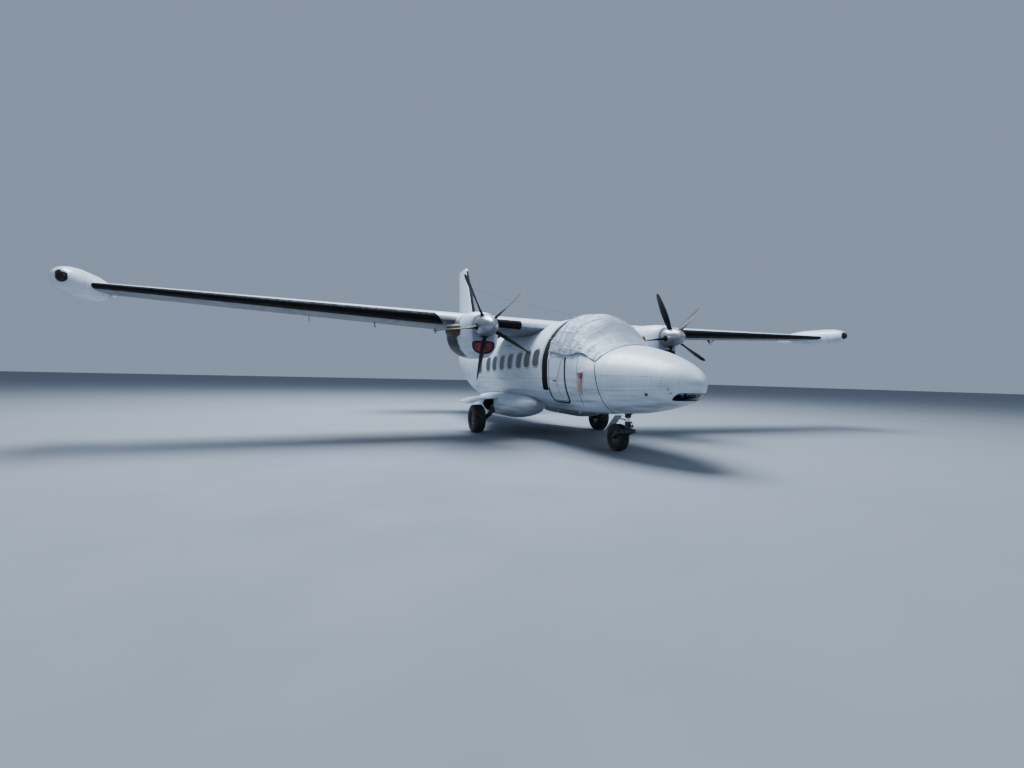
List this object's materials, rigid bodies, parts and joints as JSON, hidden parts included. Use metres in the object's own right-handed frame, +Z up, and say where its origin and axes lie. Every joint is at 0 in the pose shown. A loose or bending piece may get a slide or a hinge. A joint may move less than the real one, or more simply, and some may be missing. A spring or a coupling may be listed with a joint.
{
  "type": "twin turboprop commuter airliner",
  "caption": "High-wing commuter airliner with twin turboprops, wing-tip tanks and a single fin, parked on its tricycle landing gear with a fitted cloth cover over its cockpit.",
  "frame": {"origin": "on the ground below the middle of the aircraft's length and span, at the wheels' lowest level", "axes": "+X to the port wing tip, -Y forward to the nose, +Z up"},
  "size_m": [19.98, 14.424, 5.83],
  "materials": {
    "white_paint": "slightly dirty gloss white paint over aluminium skin",
    "blade_black": "satin black paint",
    "spinner_metal": "light silver paint, a little worn",
    "engine_steel": "heat-stained steel",
    "gear_steel": "dark grey paint with grease",
    "wheel_metal": "dull cast aluminium",
    "tyre": "black rubber",
    "lamp_glass": "clear pane over dark lamps",
    "cover_cloth": "silvery coated cloth, creased",
    "plug_cloth": "red vinyl cloth"
  },
  "bodies": {
    "airframe": {"nose_cone": "white_paint", "nose_lamp_pane": "lamp_glass", "fuselage": "white_paint", "rear_fuselage": "white_paint", "cockpit_cover": "cover_cloth", "wing_centre": "white_paint", "wing_outer_port": "white_paint", "wing_outer_starboard": "white_paint", "tip_tank_port": "white_paint", "tip_tank_starboard": "white_paint", "nacelle_port": "white_paint", "nacelle_starboard": "white_paint", "engine_port": "engine_steel", "engine_starboard": "engine_steel", "intake_plug_port": "plug_cloth", "intake_plug_starboard": "plug_cloth", "fin": "white_paint", "dorsal_fin": "white_paint", "ventral_fin": "white_paint", "tailplane_port": "white_paint", "tailplane_starboard": "white_paint", "gear_fairing_port": "white_paint", "gear_fairing_starboard": "white_paint", "main_leg_port": "gear_steel", "main_leg_starboard": "gear_steel", "main_gear_door_port": "white_paint", "main_gear_door_starboard": "white_paint", "nose_leg": "gear_steel"},
    "crew_door": {"crew_door": "white_paint"},
    "passenger_door": {"passenger_door": "white_paint"},
    "cargo_door": {"cargo_door": "white_paint"},
    "flaps_port": {"flap_inner_port": "white_paint", "flap_outer_port": "white_paint"},
    "flaps_starboard": {"flap_inner_starboard": "white_paint", "flap_outer_starboard": "white_paint"},
    "aileron_port": {"aileron_port": "white_paint"},
    "aileron_starboard": {"aileron_starboard": "white_paint"},
    "elevator_port": {"elevator_port": "white_paint"},
    "elevator_starboard": {"elevator_starboard": "white_paint"},
    "rudder": {"rudder": "white_paint"},
    "propeller_port": {"propeller_port": "blade_black", "spinner_port": "spinner_metal"},
    "propeller_starboard": {"propeller_starboard": "blade_black", "spinner_starboard": "spinner_metal"},
    "nose_steering": {"nose_fork": "gear_steel", "nose_gear_door": "white_paint"},
    "nose_wheel": {"nose_tyre": "tyre", "nose_wheel": "wheel_metal"},
    "main_wheel_port": {"main_tyre_port": "tyre", "main_wheel_port": "wheel_metal"},
    "main_wheel_starboard": {"main_tyre_starboard": "tyre", "main_wheel_starboard": "wheel_metal"}
  },
  "joints": [
    {"name": "propeller_port_spin", "type": "hinge", "parent": "airframe", "child": "propeller_port", "pos_m": [2.41, -3.612, 2.5], "axis": [0, 1, 0], "continuous": true},
    {"name": "propeller_starboard_spin", "type": "hinge", "parent": "airframe", "child": "propeller_starboard", "pos_m": [-2.41, -3.612, 2.5], "axis": [0, 1, 0], "continuous": true},
    {"name": "nose_steer", "type": "hinge", "parent": "airframe", "child": "nose_steering", "pos_m": [0, -5.252, 0.6], "axis": [0, 0, 1], "range_deg": [-45, 45]},
    {"name": "nose_wheel_roll", "type": "hinge", "parent": "nose_steering", "child": "nose_wheel", "pos_m": [0, -4.922, 0.274], "axis": [1, 0, 0], "continuous": true},
    {"name": "main_wheel_port_roll", "type": "hinge", "parent": "airframe", "child": "main_wheel_port", "pos_m": [1.825, -1.252, 0.36], "axis": [1, 0, 0], "continuous": true},
    {"name": "main_wheel_starboard_roll", "type": "hinge", "parent": "airframe", "child": "main_wheel_starboard", "pos_m": [-1.825, -1.252, 0.36], "axis": [1, 0, 0], "continuous": true},
    {"name": "rudder_turn", "type": "hinge", "parent": "airframe", "child": "rudder", "pos_m": [0, 5.80934, 2.56], "axis": [0, 0.2776, 0.9607], "range_deg": [-17, 17]},
    {"name": "elevator_turn", "type": "hinge", "parent": "airframe", "child": "elevator_port", "pos_m": [0.43, 6.01841, 3.22789], "axis": [-0.9924, 0.0193, -0.1218], "range_deg": [-30, 14]},
    {"name": "elevator_starboard_turn", "type": "hinge", "parent": "airframe", "child": "elevator_starboard", "pos_m": [-0.43, 6.01841, 3.22789], "axis": [-0.9924, -0.0193, 0.1218], "range_deg": [-30, 14]},
    {"name": "aileron_port_turn", "type": "hinge", "parent": "airframe", "child": "aileron_port", "pos_m": [6.13, -1.2119, 2.83522], "axis": [-0.9971, 0.069, -0.0316], "range_deg": [-27.5, 14.5]},
    {"name": "aileron_starboard_turn", "type": "hinge", "parent": "airframe", "child": "aileron_starboard", "pos_m": [-6.13, -1.2119, 2.83522], "axis": [-0.9971, -0.069, 0.0316], "range_deg": [-27.5, 14.5]},
    {"name": "flaps_turn", "type": "hinge", "parent": "airframe", "child": "flaps_port", "pos_m": [1.15, -0.92135, 2.48116], "axis": [-0.9973, 0.0661, -0.0313], "range_deg": [0, 42]},
    {"name": "flaps_starboard_turn", "type": "hinge", "parent": "airframe", "child": "flaps_starboard", "pos_m": [-1.15, -0.92135, 2.48116], "axis": [-0.9973, -0.0661, 0.0313], "range_deg": [0, 42]},
    {"name": "crew_door_swing", "type": "hinge", "parent": "airframe", "child": "crew_door", "pos_m": [-1.056, -4.452, 1.5], "axis": [0, 0, 1], "range_deg": [0, 95]},
    {"name": "passenger_door_swing", "type": "hinge", "parent": "airframe", "child": "passenger_door", "pos_m": [1.056, 2.128, 1.7], "axis": [0, 0, 1], "range_deg": [0, 100]},
    {"name": "cargo_door_swing", "type": "hinge", "parent": "airframe", "child": "cargo_door", "pos_m": [1.056, 0.884, 1.7], "axis": [0, 0, -1], "range_deg": [0, 100]}
  ],
  "couplings": [
    {"joint": "elevator_starboard_turn", "follows": "elevator_turn", "ratio": 1},
    {"joint": "flaps_starboard_turn", "follows": "flaps_turn", "ratio": 1}
  ]
}
